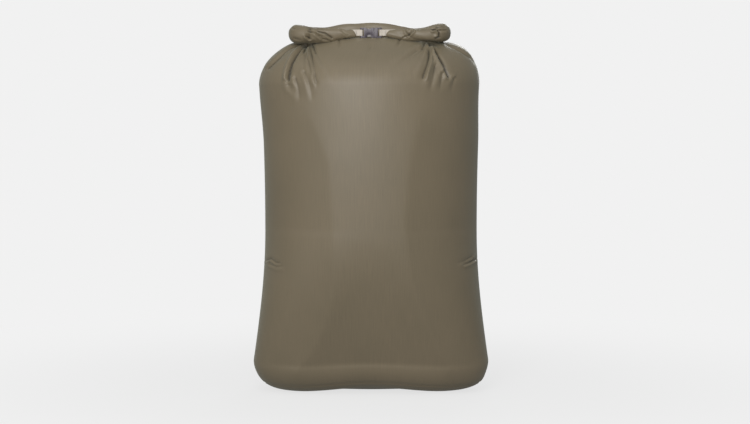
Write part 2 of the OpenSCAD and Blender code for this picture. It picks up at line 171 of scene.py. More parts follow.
def coated_nylon(name, tint):
    """Plain-weave nylon with a silicone coating and a satin sheen. Its weave follows the cloth
    through the UV map, which is in metres of fabric."""
    material, shader, add, link = new_material(name)
    shader.inputs["Specular IOR Level"].default_value = 0.50
    shader.inputs["Sheen Weight"].default_value = 0.22
    shader.inputs["Sheen Roughness"].default_value = 0.45
    shader.inputs["Sheen Tint"].default_value = (0.80, 0.86, 0.72, 1)
    uv = add("ShaderNodeUVMap", uv_map="cloth")
    coords = add("ShaderNodeTexCoord")

    # Threads: warp and weft, each a fine wave. A wave texture of scale 1 has a period of pi / 10
    thread_period = 0.0009
    threads = []
    for direction in ("X", "Y"):
        wave = add("ShaderNodeTexWave", wave_type="BANDS", bands_direction=direction)
        wave.inputs["Scale"].default_value = math.pi / 10 / thread_period
        wave.inputs["Distortion"].default_value = 0.0
        link(uv.outputs["UV"], wave.inputs["Vector"])
        threads.append(wave)
    weave = add("ShaderNodeMath", operation="MAXIMUM")
    link(threads[0].outputs["Fac"], weave.inputs[0])
    link(threads[1].outputs["Fac"], weave.inputs[1])

    # Slubs: a few thicker threads, long in one direction
    slub_map = add("ShaderNodeMapping")
    slub_map.inputs["Scale"].default_value = (900, 26, 1)
    link(uv.outputs["UV"], slub_map.inputs["Vector"])
    slubs = add("ShaderNodeTexNoise")
    slubs.inputs["Scale"].default_value = 1.0
    slubs.inputs["Detail"].default_value = 2.0
    link(slub_map.outputs["Vector"], slubs.inputs["Vector"])

    # Soft creases: what packing and handling leave in the cloth
    creases = add("ShaderNodeTexNoise", noise_type="RIDGED_MULTIFRACTAL")
    creases.inputs["Scale"].default_value = 22
    creases.inputs["Detail"].default_value = 3
    creases.inputs["Roughness"].default_value = 0.5
    link(coords.outputs["Object"], creases.inputs["Vector"])

    # Colour: small drifts in the dye and the coating
    drift = add("ShaderNodeTexNoise")
    drift.inputs["Scale"].default_value = 7
    drift.inputs["Detail"].default_value = 4
    link(coords.outputs["Object"], drift.inputs["Vector"])
    dye = add("ShaderNodeValToRGB")
    dye.color_ramp.elements[0].position = 0.25
    dye.color_ramp.elements[0].color = (tint[0] * 0.93, tint[1] * 0.94, tint[2] * 0.93, 1)
    dye.color_ramp.elements[1].position = 0.75
    dye.color_ramp.elements[1].color = (tint[0] * 1.07, tint[1] * 1.06, tint[2] * 1.05, 1)
    link(drift.outputs["Fac"], dye.inputs["Fac"])
    thread_colour = add("ShaderNodeMix", data_type="RGBA", blend_type="MULTIPLY")
    thread_colour.inputs["Factor"].default_value = 0.22
    link(dye.outputs["Color"], thread_colour.inputs["A"])
    link(slubs.outputs["Fac"], thread_colour.inputs["B"])
    # Painted shade: the colour is darkened to as little as 0.30 of itself where the "fold" attribute says a
    # point lies deep in a fold
    fold = add("ShaderNodeAttribute", attribute_name="fold")
    shade = add("ShaderNodeMapRange", interpolation_type="SMOOTHSTEP")
    shade.inputs["From Min"].default_value = 0.12
    shade.inputs["From Max"].default_value = 0.95
    shade.inputs["To Min"].default_value = 1.0
    shade.inputs["To Max"].default_value = 0.30
    link(fold.outputs["Fac"], shade.inputs["Value"])
    shaded = add("ShaderNodeVectorMath", operation="SCALE")
    link(thread_colour.outputs["Result"], shaded.inputs[0])
    link(shade.outputs["Result"], shaded.inputs["Scale"])
    link(shaded.outputs["Vector"], shader.inputs["Base Color"])

    gloss = add("ShaderNodeMapRange")
    gloss.inputs["To Min"].default_value = 0.38
    gloss.inputs["To Max"].default_value = 0.48
    link(drift.outputs["Fac"], gloss.inputs["Value"])
    link(gloss.outputs["Result"], shader.inputs["Roughness"])

    bump_weave = add("ShaderNodeBump")
    bump_weave.inputs["Strength"].default_value = 0.30
    bump_weave.inputs["Distance"].default_value = 0.00006
    link(weave.outputs["Value"], bump_weave.inputs["Height"])
    bump_slubs = add("ShaderNodeBump")
    bump_slubs.inputs["Strength"].default_value = 0.25
    bump_slubs.inputs["Distance"].default_value = 0.00008
    link(slubs.outputs["Fac"], bump_slubs.inputs["Height"])
    link(bump_weave.outputs["Normal"], bump_slubs.inputs["Normal"])
    bump_creases = add("ShaderNodeBump")
    bump_creases.inputs["Strength"].default_value = 0.10
    bump_creases.inputs["Distance"].default_value = 0.0015
    link(creases.outputs["Fac"], bump_creases.inputs["Height"])
    link(bump_slubs.outputs["Normal"], bump_creases.inputs["Normal"])
    link(bump_creases.outputs["Normal"], shader.inputs["Normal"])
    return material


nylon = coated_nylon("coated_nylon", (0.232, 0.189, 0.125))

girth = 0.968
base_half_w, base_half_d = 0.1915, 0.089
foot_half_w, foot_half_d = 0.137, 0.050
edge_h = 0.048
waist_h, waist_half_w, waist_half_d = 0.262, 0.1722, 0.133
shoulder_h, shoulder_half_w, shoulder_half_d = 0.497, 0.1785, 0.122
mouth_h, mouth_half_w, mouth_half_d = 0.5660, 0.117, 0.0035
base_square, body_square, mouth_square = 3.2, 2.15, 2.6
width_power, depth_power = 2.2, 3
left_shoulder_power, right_shoulder_power, front_shoulder_power = 1.62, 1.98, 2.05
back_columns, front_columns = 56, 104
crinkle_bottom, crinkle_top = 0.186, 0.224
floor_rows, edge_rows, lower_rows, crinkle_rows, upper_rows, shoulder_rows = 8, 14, 18, 17, 32, 54


def mix(a, b, t):
    return a + (b - a) * t


def ease(t):
    t = np.clip(t, 0, 1)
    return t * t * (3 - 2 * t)


def body_levels():
    """Rows of the tube up to the shoulders: height, half width, half depth, squareness."""
    levels = [(0.0, foot_half_w * t, foot_half_d * t, base_square)
              for t in np.linspace(0.06, 1, floor_rows)]
    for angle in np.radians(np.linspace(90, 0, edge_rows)[1:]):
        levels.append((edge_h * (1 - math.sin(angle)), mix(foot_half_w, base_half_w, math.cos(angle)),
                       mix(foot_half_d, base_half_d, math.cos(angle)), base_square))
    heights = np.concatenate([np.linspace(edge_h, crinkle_bottom, lower_rows)[1:-1],
                              np.linspace(crinkle_bottom, crinkle_top, crinkle_rows),
                              np.linspace(crinkle_top, shoulder_h, upper_rows)[1:]])
    for z in heights:
        if z < waist_h:
            t = (z - edge_h) / (waist_h - edge_h)
            rise = math.sin(math.pi / 2 * t)
            levels.append((z, mix(base_half_w, waist_half_w, rise), mix(base_half_d, waist_half_d, rise),
                           mix(base_square, body_square, float(ease(t * 0.9)))))
        else:
            t = (z - waist_h) / (shoulder_h - waist_h)
            levels.append((z, mix(waist_half_w, shoulder_half_w, t ** width_power),
                           mix(waist_half_d, shoulder_half_d, t ** depth_power), body_square))
    return levels


def power(t, p):
    """A signed power, for superellipses."""
    return np.sign(t) * np.abs(t) ** p


fold_share, fold_spread, fold_crowding = 0.235, 0.115, 2.4


def spaced(ring):
    """One row of the tube, with its points spaced along the fabric, back half first. They stand
    closer together on the front where the shoulders fold."""
    length = np.concatenate([[0], np.cumsum(np.linalg.norm(np.diff(ring, axis=0), axis=1))])
    half = len(ring) // 2
    back = np.linspace(0, length[half], back_columns, endpoint=False)
    share = np.linspace(0, 1, 400)
    crowd = 1 + fold_crowding * (np.exp(-((share - fold_share) / fold_spread) ** 2)
                                 + np.exp(-((share - 1 + fold_share) / fold_spread) ** 2))
    step = np.concatenate([[0], np.cumsum((crowd[1:] + crowd[:-1]) / 2)])
    place = np.interp(np.linspace(0, step[-1], front_columns, endpoint=False), step, share)
    front = length[half] + place * (length[-1] - length[half])
    at = np.concatenate([back, front])
    return np.stack([np.interp(at, length, ring[:, k]) for k in range(3)], 1)


turn = np.linspace(0, 2 * math.pi, 2881)
cos_turn, sin_turn = np.cos(turn), np.sin(turn)
rows = []
for z, a, b, squareness in body_levels():
    ring = np.stack([a * power(cos_turn, 2 / squareness), b * power(sin_turn, 2 / squareness),
                     np.full(turn.shape, z)], 1)
    rows.append(spaced(ring))
# The shoulders, with the right one fuller than the left
side_power = mix(left_shoulder_power, right_shoulder_power, (1 + cos_turn) / 2)
shoulder_power = side_power * cos_turn ** 2 + front_shoulder_power * sin_turn ** 2
for angle in np.radians(np.linspace(0, 90, shoulder_rows)[1:]):
    squareness = mix(body_square, mouth_square, 1 - math.cos(angle))
    out_share = math.cos(angle) ** (2 / shoulder_power)
    up_share = math.sin(angle) ** (2 / shoulder_power)
    # The taper of the sides goes on into the shoulders, so that no line shows where they begin
    climb = mix(shoulder_h, mouth_h, up_share)
    t = (climb - waist_h) / (shoulder_h - waist_h)
    a = mix(mouth_half_w, mix(waist_half_w, shoulder_half_w, t ** width_power), out_share)
    b = mix(mouth_half_d, mix(waist_half_d, shoulder_half_d, t ** depth_power), out_share)
    ring = np.stack([a * power(cos_turn, 2 / squareness), b * power(sin_turn, 2 / squareness), climb], 1)
    rows.append(spaced(ring))
body_rows = np.array(rows)


def finer(rows):
    """Twice as many rows and columns, on smooth curves through the ones given."""
    ring = np.stack([rows, (9 * (rows + np.roll(rows, -1, 1))
                            - np.roll(rows, 1, 1) - np.roll(rows, -2, 1)) / 16], 2)
    rows = ring.reshape(rows.shape[0], -1, 3)
    padded = np.concatenate([2 * rows[:1] - rows[1:2], rows, 2 * rows[-1:] - rows[-2:-1]], 0)
    middle = (9 * (padded[1:-2] + padded[2:-1]) - padded[:-3] - padded[3:]) / 16
    out = np.empty((rows.shape[0] * 2 - 1, rows.shape[1], 3))
    out[0::2], out[1::2] = rows, middle
    return out


def row_normals(rows):
    """Outward normals of a closed surface given as rows of points."""
    across = np.roll(rows, -1, 1) - np.roll(rows, 1, 1)
    n = np.cross(across, np.gradient(rows, axis=0))
    return n / np.maximum(np.linalg.norm(n, axis=2, keepdims=True), 1e-12)


eye_distance, eye_tilt, eye_x, eye_z = 3.4, math.radians(4.0), 0.0065, 0.2895


def front_view(points, mirrored=False):
    """The drawing on which the folds are laid out: x and z of each point on the plane through the
    bag's middle, as seen by an eye in front of it. Mirrored gives the same from behind."""
    across, deep = points[..., 0] - eye_x, points[..., 1]
    if mirrored:
        across, deep = -points[..., 0], -points[..., 1]
    high = points[..., 2] - eye_z
    scale = eye_distance / (eye_distance + deep * math.cos(eye_tilt) - high * math.sin(eye_tilt))
    return (across * scale + (0 if mirrored else eye_x),
            (high * math.cos(eye_tilt) + deep * math.sin(eye_tilt)) * scale + eye_z)


def crease(view, path, width, depth, lean=0.0):
    """How far a crease drawn on a view pushes each point in (negative) or out. path is its (x, z)
    points; width and depth go from its start to its end; a lean of 1 or -1 raises one side of it,
    as in a pleat. A negative depth makes a ridge."""
    x, z = view
    path = np.array(path)
    legs = np.linalg.norm(np.diff(path, axis=0), axis=1)
    start_at = np.concatenate([[0], np.cumsum(legs)])
    best = np.full(x.shape, 1e9)
    side = np.zeros(x.shape)
    along = np.zeros(x.shape)
    for k, leg in enumerate(legs):
        d = (path[k + 1] - path[k]) / leg
        rx, rz = x - path[k][0], z - path[k][1]
        t = np.clip(rx * d[0] + rz * d[1], 0, leg)
        away = np.hypot(rx - t * d[0], rz - t * d[1])
        closer = away < best
        best = np.where(closer, away, best)
        side = np.where(closer, np.sign(rx * d[1] - rz * d[0]), side)
        along = np.where(closer, (start_at[k] + t) / start_at[-1], along)
    u = best / mix(width[0], width[1], along)
    groove = -np.exp(-u ** 1.35)
    bank = np.exp(-((u - 2.0) / 1.5) ** 2) * (0.26 + 0.36 * lean * side)
    fade_out = ease((1 - along) / 0.13)
    return mix(depth[0], depth[1], along) * (groove + bank) * fade_out


def grid_object(name, rows, uv_scale, closed=True, cap_first=False, cap_last=False):
    """A mesh of quads through rows of points. Its UV map is in metres along and across the cloth."""
    count, wide = rows.shape[:2]
    mesh = bpy.data.meshes.new(name)
    last = wide if closed else wide - 1
    i, j = np.meshgrid(np.arange(count - 1), np.arange(last), indexing="ij")
    k = (j + 1) % wide
    faces = np.stack([i * wide + j, i * wide + k, (i + 1) * wide + k, (i + 1) * wide + j], 2)
    faces = faces.reshape(-1, 4).tolist()
    if cap_first:
        faces.append(list(range(wide - 1, -1, -1)))
    if cap_last:
        faces.append([(count - 1) * wide + j for j in range(wide)])
    mesh.from_pydata(rows.reshape(-1, 3).tolist(), [], faces)
    climb = np.concatenate([[0], np.cumsum(np.linalg.norm(np.diff(rows, axis=0), axis=2).mean(1))])
    across = np.arange(wide + 1) / (wide if closed else wide - 1) * uv_scale
    corners = [(i, j), (i, j + 1), (i + 1, j + 1), (i + 1, j)]
    uv = np.stack([np.stack([across[b], climb[a]], 2) for a, b in corners], 2).reshape(-1, 2)
    flat = np.zeros((len(mesh.loops), 2))
    flat[: len(uv)] = uv
    for face in mesh.polygons[(count - 1) * last:]:
        for loop in face.loop_indices:
            flat[loop] = mesh.vertices[mesh.loops[loop].vertex_index].co.xy
    layer = mesh.uv_layers.new(name="cloth")
    layer.data.foreach_set("uv", flat.astype(np.float32).ravel())
    mesh.shade_smooth()
    thing = bpy.data.objects.new(name, mesh)
    scene.collection.objects.link(thing)
    return thing


# The middle of the base's front and back edges is drawn up, so the bag stands on its corners
x, y, z = (body_rows[..., k] for k in range(3))
rim_lift, arch_h, arch_reach = 0.0016, 0.0078, 0.120
arch = rim_lift + arch_h * np.cos(np.clip(x / arch_reach, -1, 1) * math.pi / 2) ** 2
body_rows[..., 2] += arch * ease(np.hypot(y / 0.050, x / 0.150) - 0.15) * (1 - ease(z / 0.100))
# In front of the roll the slack fabric puffs up until it meets the arms and the buckle
puff_h, puff_y, puff_depth, puff_half_w, puff_from = 0.0098, -0.037, 0.026, 0.100, 0.53
puff = puff_h * np.exp(-((y - puff_y) / puff_depth) ** 2) * np.clip(1 - (x / puff_half_w) ** 2, 0, 1)
body_rows[..., 2] += puff * ease((z - puff_from) / 0.02) * (y < 0)

# The load leans a little to the left in the shoulders, and fills the right corner of the base
shoulder_lean, right_fill, left_fill, corner_x = 0.0030, 0.0055, 0.0020, 0.16
body_rows[..., 0] -= shoulder_lean * ease((z - 0.40) / 0.09) * (1 - ease((z - 0.53) / 0.03))
body_rows[..., 0] += right_fill * ease(x / corner_x) * np.exp(-((z - 0.012) / 0.013) ** 2)
body_rows[..., 0] -= left_fill * ease(-x / corner_x) * np.exp(-((z - 0.010) / 0.012) ** 2)

body_rows = finer(body_rows)
body_out = row_normals(body_rows)
x, y, z = (body_rows[..., k] for k in range(3))
front = ease(-body_out[..., 1] * 1.6 + 0.1) * (y < 0.012)
back = ease(body_out[..., 1] * 1.6 + 0.1) * (y > -0.004)

# Folds that run down from where the roll's ends gather the fabric: path, widths, depths, lean
left_folds = [
    ([(-0.104, 0.5630), (-0.116, 0.5620), (-0.1335, 0.5570)], (0.0018, 0.0018), (0.0034, 0.0030), 1),
    ([(-0.1330, 0.5560), (-0.1390, 0.5520), (-0.1540, 0.5380), (-0.1720, 0.5205)],
     (0.0018, 0.0020), (0.0030, 0.0040), 1),
    ([(-0.1050, 0.5630), (-0.1110, 0.5595), (-0.1224, 0.5455), (-0.1299, 0.5325), (-0.1337, 0.5205),
      (-0.1355, 0.5100), (-0.1352, 0.4990)], (0.0019, 0.0023), (0.0058, 0.0064), 1),
    ([(-0.1050, 0.5610), (-0.1080, 0.5565), (-0.1110, 0.5490)], (0.0015, 0.0016), (0.0050, 0.0014), 0),
    ([(-0.1040, 0.5620), (-0.1053, 0.5545), (-0.1037, 0.5420), (-0.0999, 0.5270), (-0.0975, 0.5120)],
     (0.0018, 0.0020), (0.0044, 0.0022), -1),
    ([(-0.1010, 0.5630), (-0.0975, 0.5460), (-0.0937, 0.5270), (-0.0913, 0.5070), (-0.0875, 0.4920)],
     (0.0020, 0.0026), (0.0060, 0.0018), 1),
    ([(-0.0960, 0.5640), (-0.0935, 0.5585), (-0.0895, 0.5465)], (0.0022, 0.0022), (0.0054, 0.0012), 0),
    ([(-0.1087, 0.5180), (-0.1024, 0.5010), (-0.0975, 0.4820), (-0.0950, 0.4700)],
     (0.0026, 0.0032), (0.0024, 0.0008), 1),
    ([(-0.1240, 0.5070), (-0.1187, 0.4910), (-0.1162, 0.4740)], (0.0024, 0.0032), (0.0026, 0.0008), 1),
    ([(-0.1350, 0.4960), (-0.1224, 0.4835), (-0.1140, 0.4720)], (0.0030, 0.0040), (0.0022, 0.0006), 1),
    ([(-0.0520, 0.5700), (-0.0500, 0.5560)], (0.0018, 0.0026), (0.0030, 0.0004), 0),
]
right_folds = [
    ([(0.0940, 0.5650), (0.0957, 0.5610), (0.0949, 0.5437), (0.0922, 0.5302), (0.0869, 0.5138),
      (0.0850, 0.5020)], (0.0020, 0.0022), (0.0050, 0.0044), -1),
    ([(0.0950, 0.5650), (0.0997, 0.5610), (0.1078, 0.5478), (0.1172, 0.5315), (0.1253, 0.5138),
      (0.1290, 0.5030)], (0.0020, 0.0022), (0.0060, 0.0040), 1),
    ([(0.0950, 0.5665), (0.1040, 0.5630), (0.1130, 0.5590)], (0.0020, 0.0020), (0.0056, 0.0014), 0),
    ([(0.0885, 0.5655), (0.0855, 0.5600), (0.0820, 0.5540)], (0.0022, 0.0022), (0.0050, 0.0010), 0),
    ([(0.1200, 0.5640), (0.1348, 0.5573), (0.1483, 0.5505), (0.1645, 0.5397), (0.1730, 0.5270)],
     (0.0020, 0.0020), (0.0016, 0.0032), -1),
    ([(0.1040, 0.5260), (0.1010, 0.5080), (0.0960, 0.4860)], (0.0028, 0.0040), (0.0026, 0.0008), 1),
    ([(0.1165, 0.5150), (0.1120, 0.4880)], (0.0026, 0.0036), (0.0024, 0.0008), 1),
    ([(0.1360, 0.5060), (0.1300, 0.4860)], (0.0026, 0.0036), (0.0018, 0.0006), 1),
    ([(0.0468, 0.5700), (0.0416, 0.5560)], (0.0018, 0.0026), (0.0034, 0.0004), 0),
]
centre_folds = [
    ([(-0.0012, 0.5760), (-0.0014, 0.5500), (-0.0016, 0.5380)], (0.0012, 0.0012), (0.0026, 0.0010), -1),
]
crinkles = [
    ([(-0.1725, 0.2105), (-0.163, 0.2130), (-0.155, 0.2065), (-0.146, 0.2060)],
     (0.0014, 0.0018), (0.0034, 0.0010), 1),
    ([(-0.164, 0.2040), (-0.154, 0.2000), (-0.141, 0.2010)], (0.0018, 0.0026), (0.0018, 0.0004), 1),
    ([(0.174, 0.2140), (0.160, 0.2065), (0.148, 0.2020)], (0.0014, 0.0018), (0.0042, 0.0014), -1),
    ([(0.164, 0.2160), (0.152, 0.2090), (0.140, 0.2050)], (0.0018, 0.0026), (0.0018, 0.0004), -1),
]
# Long soft ridges, from the corners of the base up both edges of the flat front
ridges = [
    ([(-0.122, 0.030), (-0.095, 0.060), (-0.076, 0.100), (-0.060, 0.160), (-0.062, 0.270), (-0.070, 0.375),
      (-0.104, 0.457), (-0.122, 0.490)], (0.020, 0.021), (-0.0024, -0.0010), 0),
    ([(0.128, 0.036), (0.108, 0.070), (0.088, 0.115), (0.066, 0.178), (0.055, 0.275), (0.064, 0.375),
      (0.084, 0.457), (0.092, 0.480)], (0.020, 0.021), (-0.0024, -0.0010), 0),
]
view, rear_view = front_view(body_rows), front_view(body_rows, mirrored=True)
push = np.zeros(x.shape)
for path, width, depth, lean in left_folds + right_folds + centre_folds + crinkles + ridges:
    push += crease(view, path, width, depth, lean) * front
# The back has the same folds, a little shallower
back_share = 0.8
for path, width, depth, lean in left_folds + right_folds + ridges + crinkles:
    push += back_share * crease(rear_view, path, width, depth, lean) * back

# Fine wrinkles that fan out between the folds
wrinkles = random.Random(7)
left_gather_x, right_gather_x, gather_z, fan_count = -0.103, 0.095, 0.566, 11
gathers = [(gather_x, side_view, face) for side_view, face in ((view, front), (rear_view, back))
           for gather_x in (left_gather_x, right_gather_x)]
for gather_x, side_view, face in gathers:
    for _ in range(fan_count):
        heading = math.radians(wrinkles.uniform(200, 340))
        near, far = wrinkles.uniform(0.010, 0.030), wrinkles.uniform(0.045, 0.085)
        bend = wrinkles.uniform(-0.12, 0.12)
        path = [(gather_x + r * math.cos(heading + bend * r / far),
                 gather_z + r * math.sin(heading + bend * r / far))
                for r in (near, (near + far) / 2, far)]
        depth = wrinkles.uniform(0.0006, 0.0016)
        lean = wrinkles.choice((-1, 1))
        push += crease(side_view, path, (0.0022, 0.0040), (depth, depth * 0.2), lean) * face
# Both gathers are drawn in
gather_depth, gather_radius = 0.0035, 0.008
for gather_x, side_view, face in gathers:
    away = np.hypot(side_view[0] - gather_x, side_view[1] - gather_z)
    push -= gather_depth * np.exp(-(away / gather_radius) ** 2) * face

# The sewn seams lie in a narrow groove: one up each side, one round the base
seam_columns, seam_row = [0, 2 * back_columns], 26
side_groove, base_groove, seam_bottom, seam_top = 0.0007, 0.0008, 0.012, 0.560
on_seam = (z[:, seam_columns] > seam_bottom) & (z[:, seam_columns] < seam_top)
push[:, seam_columns] -= side_groove * on_seam
push[seam_row] -= base_groove
body_rows += body_out * push[..., None]


def keep_painted_fold_shade(thing, push, full_depth):
    """Stores how deep in a fold each point lies. The nylon darkens its colour by it, as painted shade in
    the folds.
    """
    depth = np.clip(-push / full_depth, 0, 1).astype(np.float32).ravel()
    thing.data.attributes.new("fold", "FLOAT", "POINT").data.foreach_set("value", depth)


bag_skin = grid_object("bag_skin", body_rows, girth, cap_first=True, cap_last=True)
# The fold depth darkens the nylon's colour: painted shade in the folds of the body
keep_painted_fold_shade(bag_skin, push, full_depth=0.0045)
bag_skin.data.materials.append(nylon)
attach(bag_skin, "bag")
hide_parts("front_panel", "back_panel", "base_panel")

# ---- Neck ----
# The tube goes on up from the shoulders as a flat neck into the roll.
neck_half_w, neck_half_t, neck_bottom, neck_top = 0.1155, 0.0030, 0.5590, 0.5790
ripple_h, ripple_count = 0.0006, 150
neck_angles = np.linspace(0, 2 * math.pi, 200, endpoint=False)
neck_x = neck_half_w * power(np.cos(neck_angles), 2 / mouth_square)
neck_y = (neck_half_t * power(np.sin(neck_angles), 2 / mouth_square)
          + ripple_h * np.sin(ripple_count * np.cos(neck_angles)))
neck_rows = np.array([np.stack([neck_x, neck_y, np.full(neck_x.shape, height)], 1)
                      for height in np.linspace(neck_bottom, neck_top, 21)])
neck = grid_object("neck", neck_rows, 0.47, cap_first=True, cap_last=True)
neck.data.materials.append(nylon)
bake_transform(neck)
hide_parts("collar")

# ---- Seam tapes ----
# Translucent film, heat-bonded inside the bag over the two side seams and the seam of the base, so
# that the needle holes stay watertight.


def film(name, tint):
    material, shader, add, link = new_material(name)
    shader.inputs["Roughness"].default_value = 0.32
    coords = add("ShaderNodeTexCoord")
    bond = add("ShaderNodeTexNoise")
    bond.inputs["Scale"].default_value = 420
    bond.inputs["Detail"].default_value = 3
    link(coords.outputs["Object"], bond.inputs["Vector"])
    haze = add("ShaderNodeValToRGB")
    haze.color_ramp.elements[0].color = (tint[0] * 0.85, tint[1] * 0.85, tint[2] * 0.85, 1)
    haze.color_ramp.elements[1].color = (*tint, 1)
    link(bond.outputs["Fac"], haze.inputs["Fac"])
    link(haze.outputs["Color"], shader.inputs["Base Color"])
    bump = add("ShaderNodeBump")
    bump.inputs["Strength"].default_value = 0.2
    bump.inputs["Distance"].default_value = 0.0001
    link(bond.outputs["Fac"], bump.inputs["Height"])
    link(bump.outputs["Normal"], shader.inputs["Normal"])
    return material


def select_only(thing):
    bpy.ops.object.select_all(action="DESELECT")
    bpy.context.view_layer.objects.active = thing
    thing.select_set(True)


def clean_mesh(thing, merge=False, flat_angle=None):
    """Joins points that coincide, makes flat faces whole, and turns every face outwards."""
    select_only(thing)
    bpy.ops.object.mode_set(mode="EDIT")
    bpy.ops.mesh.select_all(action="SELECT")
    if merge:
        bpy.ops.mesh.remove_doubles(threshold=0.00001)
    if flat_angle:
        bpy.ops.mesh.dissolve_limited(angle_limit=flat_angle)
    bpy.ops.mesh.normals_make_consistent(inside=False)
    bpy.ops.object.mode_set(mode="OBJECT")


tape_film = film("seam_tape_film", (0.48, 0.46, 0.43))
tape_gap, tape_t = 0.0005, 0.0003
body_out = row_normals(body_rows)


def tape(name, patch, out, round_trip, node):
    """A strip of film under a patch of the bag's fabric. Its rows run across the strip."""
    outer, inner = patch - out * tape_gap, patch - out * (tape_gap + tape_t)
    loops = np.concatenate([outer, inner[:, ::-1]], 1)
    if round_trip:
        loops = np.concatenate([loops, loops[:1]])
    strip = grid_object(name, loops, 0.044, cap_first=not round_trip, cap_last=not round_trip)
    clean_mesh(strip, merge=True)
    strip.data.materials.append(tape_film)
    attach(strip, "bag")
    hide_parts(node)


tape_bottom, tape_top = 0.021, 0.550
for seam_column, node in zip(seam_columns, ("side_seam_tape_right", "side_seam_tape_left")):
    climb = body_rows[:, seam_column, 2]
    rows_used = np.flatnonzero((climb > tape_bottom) & (climb < tape_top))
    columns = (seam_column + np.arange(-3, 4)) % body_rows.shape[1]
    patch = np.ix_(rows_used, columns)
    tape("film_" + node, body_rows[patch], body_out[patch], False, node)
around_base = slice(seam_row - 4, seam_row + 5)
tape("film_base_seam_tape", body_rows[around_base].swapaxes(0, 1), body_out[around_base].swapaxes(0, 1),
     True, "base_seam_tape")

# ---- Rolled mouth ----
# The open end of the tube, rolled down over a stiffener strip into a soft oval roll. Its two ends
# are bent forwards and meet at the buckle. It is made in seven lengths that join edge to edge; the two
# arms and the back run follow the part of the roll that each is on, and the four corners stay where they
# are made.
# Along the middle line from the centre of the back to a tip: x, y, z, height, thickness
left_line = [
    (-0.024, 0.0020, 0.5820, 0.0285, 0.0170),
    (-0.050, 0.0020, 0.5798, 0.0275, 0.0172),
    (-0.078, 0.0010, 0.5765, 0.0260, 0.0180),
    (-0.099, -0.0010, 0.5768, 0.0276, 0.0210),
    (-0.111, -0.0060, 0.5776, 0.0296, 0.0244),
    (-0.1172, -0.0135, 0.5778, 0.0304, 0.0268),
    (-0.1188, -0.0225, 0.5778, 0.0306, 0.0276),
    (-0.1165, -0.0315, 0.5774, 0.0302, 0.0266),
    (-0.1090, -0.0380, 0.5767, 0.0288, 0.0238),
    (-0.0970, -0.0410, 0.5762, 0.0266, 0.0200),
    (-0.0840, -0.0420, 0.5758, 0.0246, 0.0178),
    (-0.0680, -0.0415, 0.5764, 0.0224, 0.0162),
    (-0.0500, -0.0405, 0.5776, 0.0184, 0.0136),
    (-0.0370, -0.0395, 0.5786, 0.0146, 0.0108),
    (-0.0275, -0.0385, 0.5794, 0.0116, 0.0084),
]
right_line = [
    (0.024, 0.0020, 0.5820, 0.0285, 0.0170),
    (0.045, 0.0020, 0.5795, 0.0270, 0.0170),
    (0.066, 0.0010, 0.5755, 0.0245, 0.0172),
    (0.086, 0.0000, 0.5760, 0.0255, 0.0182),
    (0.102, -0.0015, 0.5790, 0.0286, 0.0206),
    (0.1110, -0.0080, 0.5802, 0.0304, 0.0236),
    (0.1145, -0.0155, 0.5805, 0.0308, 0.0248),
    (0.1152, -0.0235, 0.5805, 0.0308, 0.0250),
    (0.1125, -0.0325, 0.5802, 0.0296, 0.0238),
    (0.1050, -0.0390, 0.5794, 0.0262, 0.0206),
    (0.0930, -0.0418, 0.5778, 0.0216, 0.0178),
    (0.0760, -0.0420, 0.5768, 0.0194, 0.0160),
    (0.0610, -0.0412, 0.5768, 0.0180, 0.0140),
    (0.0460, -0.0402, 0.5778, 0.0160, 0.0122),
    (0.0350, -0.0392, 0.5786, 0.0138, 0.0104),
    (0.0275, -0.0385, 0.5792, 0.0114, 0.0084),
]
back_centre = (0.000, 0.0020, 0.5820, 0.0288, 0.0170)


def smooth_line(stops, spacing):
    """Points every so often on a smooth curve through the stops, and how far along each one is."""
    ends = np.concatenate([2 * stops[:1] - stops[1:2], stops, 2 * stops[-1:] - stops[-2:-1]])
    found = []
    for k in range(len(stops) - 1):
        a, b, c, d = ends[k:k + 4]
        for t in np.linspace(0, 1, 12, endpoint=False):
            found.append(0.5 * (2 * b + (c - a) * t + (2 * a - 5 * b + 4 * c - d) * t ** 2
                                + (3 * b - a - 3 * c + d) * t ** 3))
    found = np.array(found + [stops[-1]])
    length = np.concatenate([[0], np.cumsum(np.linalg.norm(np.diff(found[:, :3], axis=0), axis=1))])
    at = np.linspace(0, length[-1], int(round(length[-1] / spacing)) + 1)
    return np.stack([np.interp(at, length, found[:, k]) for k in range(stops.shape[1])], 1), at


roll_line, roll_at = smooth_line(np.array(left_line[::-1] + [back_centre] + right_line), 0.0013)
roll_x = roll_line[:, 0]
centre_row = int(np.argmin(np.abs(roll_x) + 10 * (roll_line[:, 1] < -0.01)))
from_centre = roll_at - roll_at[centre_row]
round_count = 96
angles = np.linspace(2 * math.pi, 0, round_count, endpoint=False)
tangent = np.gradient(roll_line[:, :3], axis=0)
tangent[:, 2] *= 0.5
tangent /= np.linalg.norm(tangent, axis=1, keepdims=True)
sideways = np.cross(tangent, (0, 0, 1))
sideways /= np.linalg.norm(sideways, axis=1, keepdims=True)
upright = np.cross(sideways, tangent)
oval = 2.12
roll_rows = (roll_line[:, None, :3]
             + sideways[:, None] * (power(np.cos(angles), 2 / oval) * roll_line[:, 4:5] / 2)[..., None]
             + upright[:, None] * (power(np.sin(angles), 2 / oval) * roll_line[:, 3:4] / 2)[..., None])
# Each tip is cut slantwise, so its lower edge comes nearer to the buckle
tip_slant = 0.45
tip_share = ease((0.050 - np.abs(roll_line[:, 0])) / 0.022) * (roll_line[:, 1] < -0.03)
roll_rows[..., 0] += (np.sign(roll_line[:, 0]) * tip_share)[:, None] * tip_slant * (
    roll_rows[..., 2] - roll_line[:, None, 2])
roll_out = row_normals(roll_rows)

